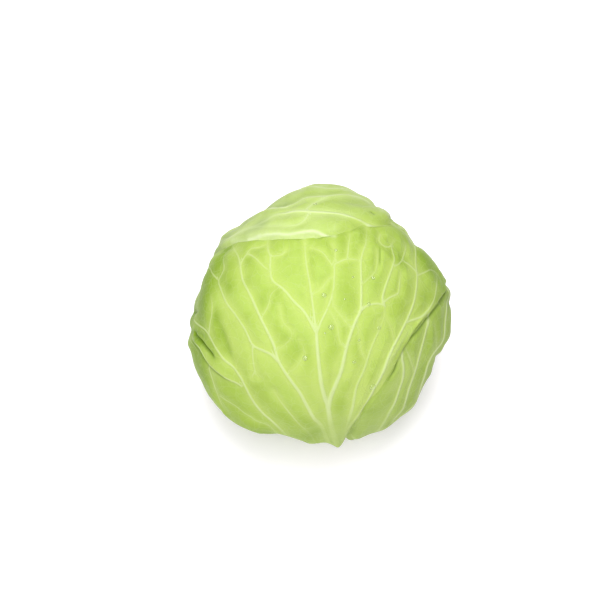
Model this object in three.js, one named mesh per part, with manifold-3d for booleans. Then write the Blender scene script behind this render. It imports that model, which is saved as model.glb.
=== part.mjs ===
// A round cabbage head as picked: a cut stem, a dense heart of folded leaves and six wrapper leaves.
// Millimetres, +Z up. The head lies as it rests on a table: it leans back on its side, so that the stem
// end points forward and down, towards -Y, and the origin is the middle of the flat spot it rests on.
//
// The shapes are worked out in the head's own frame: +Z runs from the stem to the crown, -Y is the front.
// A place on the head is a direction from its centre. Its azimuth is 0 at the front and grows to the right,
// and its polar angle is 0 at the stem and 180 at the crown.
import * as THREE from "three";
import Module from "manifold-3d";
import { mergeVertices } from "three/addons/utils/BufferGeometryUtils.js";

const wasm = await Module();
wasm.setup();

// Driving dimensions of the whole head
const HEART_RADIUS = 79;
const LEAN_BACK = 60; // degrees from upright
const SIDE_TILT = 8; // degrees by which the stem end swings to the right
const REST_HEIGHT = 82; // from the table to the head's centre
const PRESSED = 0.8; // what comes this near to the table is pressed flat on it
const FLAT_DEPTH = 76.1; // from the centre to the heart's flattened side
const FLAT_BLEND = 1.2; // how gradually the round side turns flat

// Leaf blades
const BLADE = 0.85;
const MARGIN_BLADE = 0.7;
const LAYER_GAP = 1.25;
const LAYER_PITCH = BLADE + LAYER_GAP;
const RIB_HEIGHT = 1.7;
const PUFF_HEIGHT = 1; // how far the blade swells between two ribs
const RUFFLE_HEIGHT = 1.4; // how far the margin lifts in its waves

// Stem
const STEM_RADIUS = 13;
const STEM_CUT_RADIUS = 14;
const STEM_LENGTH = 18;
const STEM_END = 82; // from the centre to the cut face
const STEM_HOLLOW = 4.5; // depth of the dimple that the stem grows from

// The front is drawn from the photograph, whose pixels are placed on the head by these values.
const PHOTO_CENTRE = [319, 315];
const MM_PER_PIXEL = 0.672;
const VIEW_DISTANCE = 1200;

// Swellings and dents of the head, each at an angle round the outline seen from the front: 0 is right and
// 90 is up. Heights are in millimetres and spreads in degrees.
const SWELLINGS = [
  { angle: 222, height: 7.5, spread: 17 },
  { angle: 249, height: -5.5, spread: 7 },
  { angle: 300, height: 4, spread: 16 },
  { angle: 338, height: -3.5, spread: 8 },
  { angle: 0, height: 4.5, spread: 15 },
  { angle: 46, height: -5.5, spread: 13 },
  { angle: 86, height: 7, spread: 17 },
  { angle: 122, height: -5, spread: 10 },
  { angle: 143, height: 2.5, spread: 9 },
  { angle: 162, height: -7, spread: 13 },
];

const radians = THREE.MathUtils.degToRad;
const smoothstep = THREE.MathUtils.smoothstep;
const smallest = (list) => list.reduce((a, b) => Math.min(a, b));

// The direction at an azimuth and a polar angle, in degrees.
function at(azimuth, polar) {
  const a = radians(azimuth);
  const p = radians(polar);
  return new THREE.Vector3(Math.sin(p) * Math.sin(a), -Math.sin(p) * Math.cos(a), -Math.cos(p));
}

// The direction of the table as the head sees it, and of the outline point at an angle seen from the front.
const tilt = -radians(SIDE_TILT);
const lean = radians(LEAN_BACK);
const DOWN = new THREE.Vector3(
  Math.cos(lean) * Math.sin(tilt), Math.sin(lean), -Math.cos(lean) * Math.cos(tilt));

function outline(angle) {
  const a = radians(angle) + tilt;
  return new THREE.Vector3(Math.cos(a), 0, Math.sin(a));
}

const swellings = SWELLINGS.map((s) => ({ ...s, towards: outline(s.angle) }));

// Distance from the centre to the heart's surface in a direction.
function bodyRadius(direction) {
  let radius = HEART_RADIUS;
  for (const s of swellings) {
    const apart = THREE.MathUtils.radToDeg(direction.angleTo(s.towards));
    radius += s.height * Math.exp(-0.5 * (apart / s.spread) ** 2);
  }
  const fromStem = THREE.MathUtils.radToDeg(Math.acos(THREE.MathUtils.clamp(-direction.z, -1, 1)));
  radius -= STEM_HOLLOW * Math.exp(-0.5 * (fromStem / 13) ** 2);
  const towardsTable = direction.dot(DOWN);
  if (towardsTable > 0.3) {
    const flat = FLAT_DEPTH / towardsTable;
    const blend = FLAT_BLEND * Math.log(Math.exp(-radius / FLAT_BLEND) + Math.exp(-flat / FLAT_BLEND));
    radius = -blend;
  }
  return radius;
}

// The direction of the head's surface that shows at a pixel of the photograph. What is nearer to the camera
// than the head's middle shows a little larger.
function seen(x, y) {
  const across = (x - PHOTO_CENTRE[0]) * MM_PER_PIXEL;
  const up = (PHOTO_CENTRE[1] - y) * MM_PER_PIXEL;
  const flat = new THREE.Vector2(across, up).rotateAround(new THREE.Vector2(), tilt);
  const direction = new THREE.Vector3(flat.x, 0, flat.y).normalize();
  for (let i = 0; i < 6; i++) {
    const radius = bodyRadius(direction) + 2 * LAYER_PITCH;
    const nearer = 1 + (direction.y * radius) / VIEW_DISTANCE;
    const inView = flat.clone().multiplyScalar(nearer / radius).clampLength(0, 0.995);
    direction.set(inView.x, -Math.sqrt(1 - inView.lengthSq()), inView.y);
  }
  return direction;
}

// Ribs of a leaf that isn't drawn from the photograph. They fan from the stalk's foot at the stem.
function fanRibs({ azimuth, left, right, reach, count }) {
  const ribs = [];
  for (let k = 0; k < count; k++) {
    const share = (2 * k) / (count - 1) - 1;
    const span = share < 0 ? left : right;
    const tip = reach - 26 * Math.abs(share) ** 3;
    const rib = [];
    for (const step of [0, 0.14, 0.32, 0.55, 0.78, 1]) {
      const polar = 12 + (tip - 12) * step;
      const opening = 0.42 + 0.58 * smoothstep(polar, 10, 62);
      const tuck = 1 - 0.12 * smoothstep(step, 0.7, 1);
      rib.push(at(azimuth + share * span * opening * tuck, polar));
    }
    ribs.push(rib);
  }
  return ribs;
}

const FRONT_RIBS = [
  [at(-34, 12), at(-70, 22), at(-88, 36), at(-98, 54), at(-106, 76), at(-106, 98), at(-102, 112)],
  [at(-26, 12), at(-58, 22), at(-71, 36), at(-72, 52), seen(216, 372), at(-84, 86), at(-92, 104), at(-92, 122)],
  [at(-17, 12), at(-44, 22), at(-54, 35), at(-51, 50), seen(240, 375), seen(209, 333), at(-78, 106), at(-79, 130)],
  [at(-9, 11.5), seen(313, 405), seen(287, 368), seen(269, 334), seen(248, 291), seen(236, 248), at(-62, 138)],
  [at(-1, 11.5), seen(326, 405), seen(319, 365), seen(314, 330), seen(311, 295), seen(305, 250), at(-28, 148)],
  [at(7, 11.5), seen(340, 400), seen(347, 360), seen(355, 322), seen(361, 282), seen(366, 240), at(14, 149)],
  [at(15, 11.5), seen(356, 402), seen(371, 358), seen(384, 318), seen(393, 272), seen(391, 246), at(44, 141)],
  [at(23, 12), seen(370, 396), seen(391, 350), seen(408, 316), seen(417, 280), seen(414, 254), at(76, 131)],
  [at(31, 12), seen(368, 412), seen(391, 374), seen(414, 332), seen(443, 293), at(92, 106)],
];

const RIGHT_RIBS = [
  [at(38, 12), at(26, 32), at(6, 60), at(-2, 90), at(2, 115), at(14, 134)],
  [at(48, 12), seen(374, 416), seen(394, 394), seen(402, 358), at(45, 92), at(38, 120), at(34, 138)],
  [at(58, 12), seen(381, 416), seen(405, 388), seen(420, 348), seen(430, 308), at(66, 115), at(58, 141)],
  [at(69, 12), at(74, 28), seen(414, 388), seen(434, 350), seen(445, 303), at(90, 112), at(82, 138)],
  [at(80, 12), at(86, 30), at(92, 52), at(98, 72), at(108, 94), at(108, 115), at(100, 130)],
];

const TOP_RIBS = [
  [at(158, 12), at(147, 36), at(134, 62), at(124, 86), at(119, 104), at(110, 118), at(97, 127)],
  [at(170, 12), at(163, 40), at(155, 76), at(146, 106), at(134, 125), at(115, 136), at(97, 138)],
  [at(182, 12), at(180, 40), at(178, 78), at(176, 114), at(170, 146), at(130, 163), at(98, 153), at(88, 146)],
  [at(191, 12), at(193, 38), at(198, 74), at(206, 112), at(232, 148), seen(308, 199), seen(350, 197),
    seen(380, 211)],
  [at(201, 12), at(206, 36), at(216, 68), at(232, 100), seen(238, 226), seen(298, 211), seen(345, 214),
    seen(387, 218)],
  [at(211, 12), at(218, 34), at(236, 64), at(256, 94), seen(215, 258), seen(232, 240), seen(298, 240),
    seen(337, 236), seen(363, 225), seen(391, 224)],
];

// The wrapper leaves, from the innermost to the outermost. Each lies over those before it. The stalk is the
// height of its foot at the stem, and the cell is the longest side of its facets.
const leaves = [
  { name: "leaf_back_right", stalk: 5, cell: 13,
    ribs: fanRibs({ azimuth: 126, left: 64, right: 72, reach: 146, count: 6 }) },
  { name: "leaf_left", stalk: 5, cell: 13,
    ribs: fanRibs({ azimuth: -132, left: 76, right: 78, reach: 146, count: 7 }) },
  { name: "leaf_lower_left", stalk: 5, cell: 13,
    ribs: fanRibs({ azimuth: -56, left: 56, right: 54, reach: 126, count: 6 }) },
  { name: "leaf_right", stalk: 4, cell: 10, ribs: RIGHT_RIBS },
  { name: "leaf_front", stalk: 6, cell: 11, ribs: FRONT_RIBS },
  { name: "leaf_top", stalk: 6, cell: 11.5, ribs: TOP_RIBS },
];

function smoothCurve(points) {
  return new THREE.CatmullRomCurve3(points, false, "catmullrom", 0.5);
}

// The direction at a place on a leaf: along counts from 0 at the stalk's foot to 1 at the margin, and rib
// counts across the leaf, with each whole number on a rib.
function leafDirection(leaf, rib, along) {
  const row = leaf.curves.map((curve) => curve.getPointAt(along));
  return smoothCurve(row).getPoint(rib / (row.length - 1)).normalize();
}

// The footprint is a cloud of small patches of the leaf. It is blurred to tell how far the leaf covers a place.
const PATCHES = 24;
const BLUR = 8;

function footprint(leaf) {
  const last = leaf.curves.length - 1;
  const grid = [];
  for (let i = 0; i <= PATCHES; i++) {
    grid.push([]);
    for (let j = 0; j <= PATCHES; j++) grid[i].push(leafDirection(leaf, (last * i) / PATCHES, j / PATCHES));
  }
  const patches = [];
  for (let i = 0; i < PATCHES; i++) {
    for (let j = 0; j < PATCHES; j++) {
      const [a, b, c, d] = [grid[i][j], grid[i + 1][j], grid[i + 1][j + 1], grid[i][j + 1]];
      const area = c.clone().sub(a).cross(d.clone().sub(b)).length() * 0.5 * HEART_RADIUS ** 2;
      const centre = a.clone().add(b).add(c).add(d).normalize();
      patches.push({ centre, weight: area / (2 * Math.PI * BLUR ** 2) });
    }
  }
  return patches;
}

// The blurred footprint: 1 well inside the leaf, a half at its margin and 0 well outside it.
function footprintAt(leaf, direction) {
  let share = 0;
  for (const patch of leaf.patches) {
    const apart = (patch.centre.distanceTo(direction) * HEART_RADIUS) / BLUR;
    if (apart < 4) share += patch.weight * Math.exp(-0.5 * apart ** 2);
  }
  return share;
}

// How far a leaf lifts those that lie over it, and how far it presses those beneath it flat, from 0 to 1.
const lifts = (lower, direction) => smoothstep(footprintAt(lower, direction), 0.01, 0.25);
const presses = (upper, direction) => smoothstep(footprintAt(upper, direction), 0.04, 0.25);

for (const leaf of leaves) {
  leaf.curves = leaf.ribs.map(smoothCurve);
  leaf.patches = footprint(leaf);
}

// Radii of a leaf's inner and outer face at a place on it.
function leafFaces(leaf, order, rib, along) {
  const direction = leafDirection(leaf, rib, along);
  const last = leaf.curves.length - 1;
  let inner = bodyRadius(direction) + LAYER_GAP;
  for (const lower of leaves.slice(0, order)) inner += LAYER_PITCH * lifts(lower, direction);
  const free = smallest([1, ...leaves.slice(order + 1).map((upper) => 1 - presses(upper, direction))]);
  const fromSide = Math.min(rib, last - rib);
  const inside = Math.min(1, fromSide / 0.5, (1 - along) / 0.08);
  const blade = MARGIN_BLADE + (BLADE - MARGIN_BLADE) * inside;
  const toRib = Math.abs(rib - Math.round(rib));
  const onRib = fromSide > 0.5 ? Math.exp(-0.5 * (toRib / 0.07) ** 2) : 0;
  const relief = RIB_HEIGHT * onRib * (1 - 0.6 * along) + PUFF_HEIGHT * Math.sin(Math.PI * toRib);
  const middle = 1 - ((2 * rib) / last - 1) ** 2;
  const stalk = leaf.stalk * middle ** 1.5 * Math.exp(-0.5 * (along / 0.09) ** 2);
  const ruffle = RUFFLE_HEIGHT * (1 - inside) * (0.5 + 0.5 * Math.sin(9 * along + 4.1 * rib + 2 * order));
  return { direction, inner, outer: inner + blade + free * (relief * inside + stalk + ruffle * along) };
}

// A point of the head's outside, brought to the table where it is near it. This gives the lowest leaf the
// flat spot that the head rests on.
function onTable(direction, radius) {
  const room = REST_HEIGHT - direction.dot(DOWN) * radius;
  const point = direction.clone().multiplyScalar(radius);
  return room < PRESSED ? point.addScaledVector(DOWN, room) : point;
}

// A leaf is a sheet of columns on and beside its ribs, with the same triangles on its outer and inner face.
const FLANK = 0.13; // how far beside a rib its flanks lie, as a share of the way to the next rib

function farthest(first, second) {
  const apart = [];
  for (let along = 0; along <= 1; along += 0.125) {
    apart.push(first.getPointAt(along).distanceTo(second.getPointAt(along)) * HEART_RADIUS);
  }
  return Math.max(...apart);
}

function leafGeometry(leaf, order) {
  const last = leaf.curves.length - 1;
  const columns = [];
  for (let k = 0; k < last; k++) {
    const room = (1 - 2 * FLANK) * farthest(leaf.curves[k], leaf.curves[k + 1]);
    const cells = Math.max(2, Math.ceil(room / leaf.cell));
    columns.push(k);
    for (let c = 0; c <= cells; c++) columns.push(k + FLANK + ((1 - 2 * FLANK) * c) / cells);
  }
  columns.push(last);
  const lengths = leaf.curves.map((curve) => curve.getLength() * HEART_RADIUS);
  const rows = Math.ceil(Math.max(...lengths) / leaf.cell);
  const across = columns.length - 1;
  const grid = new THREE.PlaneGeometry(1, 1, across, rows);
  const spots = grid.attributes.position;
  const size = spots.count;
  const positions = new Float32Array(size * 6);
  for (let i = 0; i < size; i++) {
    const rib = columns[Math.round((spots.getX(i) + 0.5) * across)];
    const along = THREE.MathUtils.clamp(spots.getY(i) + 0.5, 0, 1);
    const faces = leafFaces(leaf, order, rib, along);
    onTable(faces.direction, faces.outer).toArray(positions, i * 3);
    faces.direction.clone().multiplyScalar(faces.inner).toArray(positions, (size + i) * 3);
  }
  const outer = Array.from(grid.index.array);
  const inner = outer.map((v) => v + size).reverse();
  const rim = [];
  const strip = (a, b) => rim.push(a, b + size, b, a, a + size, b + size);
  const row = across + 1;
  for (let i = 0; i < across; i++) {
    strip(i + 1, i);
    strip(rows * row + i, rows * row + i + 1);
  }
  for (let j = 0; j < rows; j++) {
    strip(j * row, (j + 1) * row);
    strip((j + 1) * row + across, j * row + across);
  }
  const geometry = new THREE.BufferGeometry();
  geometry.setAttribute("position", new THREE.BufferAttribute(positions, 3));
  geometry.setIndex([...outer, ...inner, ...rim]);
  return geometry;
}

// The heart's crown shows the stepped margins of the leaves folded inside it.
const CROWN_FOLDS = 3;
const CROWN_STEP = 2;

function heartGeometry() {
  const ball = new THREE.SphereGeometry(1, 36, 22).rotateX(Math.PI / 2);
  ball.deleteAttribute("normal");
  ball.deleteAttribute("uv");
  const geometry = mergeVertices(ball);
  const spots = geometry.attributes.position;
  for (let i = 0; i < spots.count; i++) {
    const direction = new THREE.Vector3().fromBufferAttribute(spots, i).normalize();
    const turn = Math.atan2(direction.x, -direction.y) / (2 * Math.PI) + 0.5 - direction.z * 0.2;
    const fold = (((turn * CROWN_FOLDS) % 1) + 1) % 1;
    const nearCrown = smoothstep(direction.z, 0.45, 0.8) * (1 - smoothstep(direction.z, 0.97, 1));
    const radius = bodyRadius(direction) - CROWN_STEP * fold * nearCrown;
    spots.setXYZ(i, ...direction.multiplyScalar(radius).toArray());
  }
  return geometry;
}

function stemGeometry() {
  const profile = [
    [0, -STEM_END],
    [STEM_CUT_RADIUS - 1, -STEM_END],
    [STEM_CUT_RADIUS, -STEM_END + 1],
    [STEM_RADIUS, -STEM_END + 8],
    [STEM_RADIUS - 2, -STEM_END + STEM_LENGTH],
    [0, -STEM_END + STEM_LENGTH],
  ].map(([r, z]) => new THREE.Vector2(r, z));
  const stem = new THREE.LatheGeometry(profile, 24).rotateX(Math.PI / 2);
  stem.deleteAttribute("normal");
  stem.deleteAttribute("uv");
  return mergeVertices(stem, 1e-3);
}

// Boolean cuts of the pieces that meet the stem
function solid(geometry) {
  const vertProperties = new Float32Array(geometry.attributes.position.array);
  const triVerts = new Uint32Array(geometry.index.array);
  return new wasm.Manifold(new wasm.Mesh({ numProp: 3, vertProperties, triVerts }));
}

function geometryOf(made) {
  const mesh = made.getMesh();
  const geometry = new THREE.BufferGeometry();
  geometry.setAttribute("position", new THREE.BufferAttribute(new Float32Array(mesh.vertProperties), 3));
  geometry.setIndex(new THREE.BufferAttribute(new Uint32Array(mesh.triVerts), 1));
  return geometry;
}

function leafMaterial(color) {
  return new THREE.MeshStandardMaterial({ color, roughness: 0.42, metalness: 0 });
}

const freshGreen = leafMaterial("#bfdc78");
const shadedGreen = leafMaterial("#a9c765");
const heartCream = leafMaterial("#dcebaa");
const cutWood = new THREE.MeshStandardMaterial({ color: "#e9e6c4", roughness: 0.7, metalness: 0 });

const head = new THREE.Group();

function addPiece(name, geometry, material) {
  const piece = new THREE.Mesh(geometry, material);
  piece.name = name;
  head.add(piece);
}

const stem = stemGeometry();
const stemRoom = stem.clone().translate(0, 0, STEM_END).scale(1.04, 1.04, 1.04).translate(0, 0, -STEM_END);
addPiece("stem", stem, cutWood);
addPiece("heart", geometryOf(solid(heartGeometry()).subtract(solid(stemRoom))), heartCream);
leaves.forEach((leaf, order) => {
  const outside = leaf.name === "leaf_front" || leaf.name === "leaf_top";
  addPiece(leaf.name, leafGeometry(leaf, order), outside ? freshGreen : shadedGreen);
});

// The head leans back on its side, with its stem end swung to the right, and rests on its flat spot.
head.rotation.set(-lean, tilt, 0, "XYZ");
head.position.set(0, 0, REST_HEIGHT);
const cabbage = new THREE.Group();
cabbage.add(head);

export default cabbage;
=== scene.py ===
# A round cabbage head lying on a white table, seen from the front and well above.
from math import ceil, cos, pi, radians, sin, sqrt

import bpy
import numpy as np
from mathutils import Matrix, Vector
from numpy.linalg import norm


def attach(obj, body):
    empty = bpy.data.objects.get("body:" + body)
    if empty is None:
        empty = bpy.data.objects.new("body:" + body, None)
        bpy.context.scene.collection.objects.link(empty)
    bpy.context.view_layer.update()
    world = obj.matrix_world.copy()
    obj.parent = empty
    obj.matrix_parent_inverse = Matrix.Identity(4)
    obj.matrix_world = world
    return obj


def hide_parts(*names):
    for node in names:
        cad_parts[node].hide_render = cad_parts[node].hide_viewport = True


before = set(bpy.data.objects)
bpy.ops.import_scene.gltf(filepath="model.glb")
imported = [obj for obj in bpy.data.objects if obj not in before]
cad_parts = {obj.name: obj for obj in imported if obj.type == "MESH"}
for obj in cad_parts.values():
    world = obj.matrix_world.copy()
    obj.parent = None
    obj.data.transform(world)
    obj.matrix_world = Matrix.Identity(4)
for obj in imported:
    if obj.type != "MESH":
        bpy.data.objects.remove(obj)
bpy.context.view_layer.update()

mm = 0.001

# The head's own frame, in millimetres: z runs from the stem to the crown and -y is the front. Sizes are those of
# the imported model, and a few margins lie some millimetres elsewhere.
head = {
    "heartRadius": 79,
    "leanBack": 60, "sideTilt": 8, "restHeight": 82,
    "pressed": 0.8,  # how deep the table presses the outermost leaf flat
    "flatDepth": 76.1, "flatBlend": 1.2,
    "stemHollow": (4.5, 13),  # depth, and spread in degrees
    "blade": 0.85, "marginBlade": 0.65, "layerGap": 1.25,
    "swellings": [  # angle round the outline, height, spread in degrees
        (222, 7.5, 17), (249, -5.5, 7), (300, 4, 16), (338, -3.5, 8), (0, 4.5, 15),
        (46, -5.5, 13), (86, 7, 17), (122, -5, 10), (143, 2.5, 9), (162, -7, 13),
    ],
}
picture = {"centre": (319, 315), "mmPerPixel": 0.672, "viewDistance": 1200, "frame": 600}
headRadius = head["heartRadius"]
layerPitch = head["blade"] + head["layerGap"]
tilt = -radians(head["sideTilt"])
lean = radians(head["leanBack"])
down = np.array([cos(lean) * sin(tilt), sin(lean), -cos(lean) * cos(tilt)])
underside = 0.3  # only directions this far downward can meet the table
limb = 0.995  # no pixel is taken to be nearer to the outline than this share of the radius


def at(azimuth, polar):
    # direction in degrees: azimuth 0 is the front and 90 the right, polar 0 is the stem and 180 the crown
    a, p = radians(azimuth), radians(polar)
    return np.array([sin(p) * sin(a), -sin(p) * cos(a), -cos(p)])


def smoothstep(x, low, high):
    t = np.clip((x - low) / (high - low), 0, 1)
    return t * t * (3 - 2 * t)


def bell(x, spread):
    return np.exp(-0.5 * (x / spread) ** 2)


def spot(x, size):
    return np.exp(-(x / size) ** 2)


def unit(v):
    return v / norm(v, axis=-1, keepdims=True)


def outlineDirection(angle):
    a = radians(angle) + tilt
    return np.array([cos(a), 0, sin(a)])


def degreesBetween(cosine):
    return np.degrees(np.arccos(np.clip(cosine, -1, 1)))


def bodyRadius(d):
    radius = np.full(d.shape[:-1], float(headRadius))
    for angle, height, spread in head["swellings"]:
        radius += height * bell(degreesBetween(d @ outlineDirection(angle)), spread)
    depth, spread = head["stemHollow"]
    radius -= depth * bell(degreesBetween(-d[..., 2]), spread)
    flat = head["flatDepth"] / np.maximum(d @ down, underside)
    soft = head["flatBlend"]
    pressed = np.minimum(radius, flat) - soft * np.log1p(np.exp(-np.abs(radius - flat) / soft))
    return np.where(d @ down > underside, pressed, radius)


surfaceSoFar = {}  # holds a map of the surface once there is one


def seen(x, y):
    # direction of the head's surface that shows at a pixel of the photograph
    middle, covering = picture["frame"] / 2, 2 * layerPitch
    nearer, radius = 1, headRadius + covering
    for attempt in range(7):
        across = ((x - middle) * nearer + middle - picture["centre"][0]) * picture["mmPerPixel"]
        up = ((middle - y) * nearer + picture["centre"][1] - middle) * picture["mmPerPixel"]
        flat = np.array([across * cos(tilt) - up * sin(tilt),
                         across * sin(tilt) + up * cos(tilt)]) / radius
        length = norm(flat)
        if length > limb:
            flat *= limb / length
        d = np.array([flat[0], -sqrt(1 - flat @ flat), flat[1]])
        radius = float(lookUp(surfaceSoFar["map"], d) if surfaceSoFar else bodyRadius(d) + covering)
        nearer = 1 + d[1] * radius / picture["viewDistance"]
    return d


def placed(points):
    # directions for a list in which pixels of the photograph and directions may be mixed
    return [seen(*point) if len(point) == 2 else point for point in points]


def toWorld(points):
    # from the head's frame in millimetres to the table's in metres
    x, y, z = points[..., 0], points[..., 1], points[..., 2]
    x, z = x * cos(tilt) + z * sin(tilt), -x * sin(tilt) + z * cos(tilt)
    y, z = y * cos(lean) + z * sin(lean), -y * sin(lean) + z * cos(lean)
    return np.stack([x, y, z + head["restHeight"]], axis=-1) * mm


def curvePoints(points, t):
    # smooth curve through points at places t, from 0 to 1
    p = np.asarray(points, float)
    p = np.concatenate([[2 * p[0] - p[1]], p, [2 * p[-1] - p[-2]]])
    place = np.asarray(t, float) * (len(p) - 3)
    i = np.minimum(place.astype(int), len(p) - 4)
    w = (place - i).reshape((-1,) + (1,) * (p.ndim - 1))
    return blendPoints(p[i], p[i + 1], p[i + 2], p[i + 3], w)


def blendPoints(a, b, c, d, w):
    m0, m1 = (c - a) / 2, (d - b) / 2
    return (2 * b - 2 * c + m0 + m1) * w ** 3 + (-3 * b + 3 * c - 2 * m0 - m1) * w ** 2 + m0 * w + b


def evenCurve(points, along):
    # the same curve at even steps of length
    t = np.linspace(0, 1, 201)
    p = curvePoints(points, t)
    length = np.concatenate([[0], np.cumsum(norm(np.diff(p, axis=0), axis=1))])
    return curvePoints(points, np.interp(np.asarray(along) * length[-1], length, t))


# How a leaf that the photograph hardly shows is fanned out. Widths are shares of its full width.
fan = {
    "steps": (0, 0.14, 0.32, 0.55, 0.78, 1), "start": 12, "roundTip": 26,
    "footWidth": 0.42, "widening": 0.58, "widensOver": (10, 62), "tuck": 0.12, "tucksOver": (0.7, 1),
}


def fanRibs(azimuth, left, right, reach, count):
    ribs = []
    for k in range(count):
        share = 2 * k / (count - 1) - 1
        span = left if share < 0 else right
        tip = reach - fan["roundTip"] * abs(share) ** 3
        rib = []
        for step in fan["steps"]:
            polar = fan["start"] + (tip - fan["start"]) * step
            opening = fan["footWidth"] + fan["widening"] * float(smoothstep(polar, *fan["widensOver"]))
            tuck = 1 - fan["tuck"] * float(smoothstep(step, *fan["tucksOver"]))
            rib.append(at(azimuth + share * span * opening * tuck, polar))
        ribs.append(rib)
    return ribs


# Ribs of a leaf from its left side to its right, each from the stem to the tip. A pair is a pixel of the photograph.
frontRibs = [
    [at(-34, 12), at(-70, 22), at(-88, 36), at(-98, 54), at(-106, 76), at(-106, 98), at(-102, 112)],
    [at(-26, 12), at(-58, 22), at(-71, 36), at(-72, 52), (216, 372), at(-84, 86), at(-92, 104), at(-92, 122)],
    [at(-17, 12), at(-44, 22), at(-54, 35), at(-51, 50), (240, 375), (209, 333), at(-78, 106), at(-79, 130)],
    [at(-9, 11.5), (313, 405), (287, 368), (269, 334), (248, 291), (236, 248), at(-62, 138)],
    [at(-1, 11.5), (326, 405), (319, 365), (314, 330), (311, 295), (305, 250), at(-28, 148)],
    [at(7, 11.5), (340, 400), (347, 360), (355, 322), (361, 282), (366, 240), at(14, 149)],
    [at(15, 11.5), (356, 402), (371, 358), (384, 318), (393, 272), (391, 246), at(44, 141)],
    [at(23, 12), (370, 396), (391, 350), (408, 316), (417, 280), (414, 254), at(78, 130)],
    [at(28, 12), (364, 413), (391, 374), (413.5, 331.5), (430.5, 311), (437.5, 299.5), (442, 289.5), at(92, 104),
     at(90, 117)],
]
rightRibs = [
    [at(20, 9), at(18, 32), at(6, 60), at(-2, 90), at(2, 115), at(14, 134)],
    [at(40, 8), (374, 416), (394, 394), (402, 358), at(45, 92), at(38, 120), at(34, 138)],
    [at(58, 8.5), (381, 416), (405, 388), (420, 348), (430, 308), at(66, 115), at(58, 141)],
    [at(69, 9.5), at(74, 28), (414, 388), (434, 350), (445, 303), at(90, 112), at(82, 138)],
    [at(87, 8), at(87, 30), at(92, 52), at(98, 72), at(108, 94), at(108, 115), at(100, 130)],
]
topRibs = [
    [at(158, 12), at(147, 36), at(134, 62), at(125, 84), at(121, 98), at(117, 110), at(112, 119)],
    [at(170, 12), at(163, 40), at(155, 76), at(147, 104), at(137, 122), at(122, 132), at(105, 128)],
    [at(182, 12), at(180, 40), at(178, 78), at(176, 114), at(170, 144), at(143, 155), at(112, 148), at(94, 136.5)],
    [at(191, 12), at(193, 38), at(198, 74), at(206, 112), at(232, 148), (308, 199), (352, 199), (389, 216.5)],
    [at(201, 12), at(206, 36), at(216, 68), at(232, 100), (238, 226), (298, 211), (345, 214), (391, 220.5)],
    [at(211, 12), at(218, 34), at(234, 62), at(248, 81), at(259, 94), at(270, 107), (206, 272), (211.5, 259.5),
     (219, 249.5), (227.5, 243), (235.5, 240), (245, 238.4), (256, 237.4), (269, 237.2), (285, 237.4), (298, 237.2),
     (315, 236.6), (329, 236.2), (341, 234.3), (350, 230.8), (363, 225.8), (378, 226.3), (393, 224.4)],
]

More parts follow.
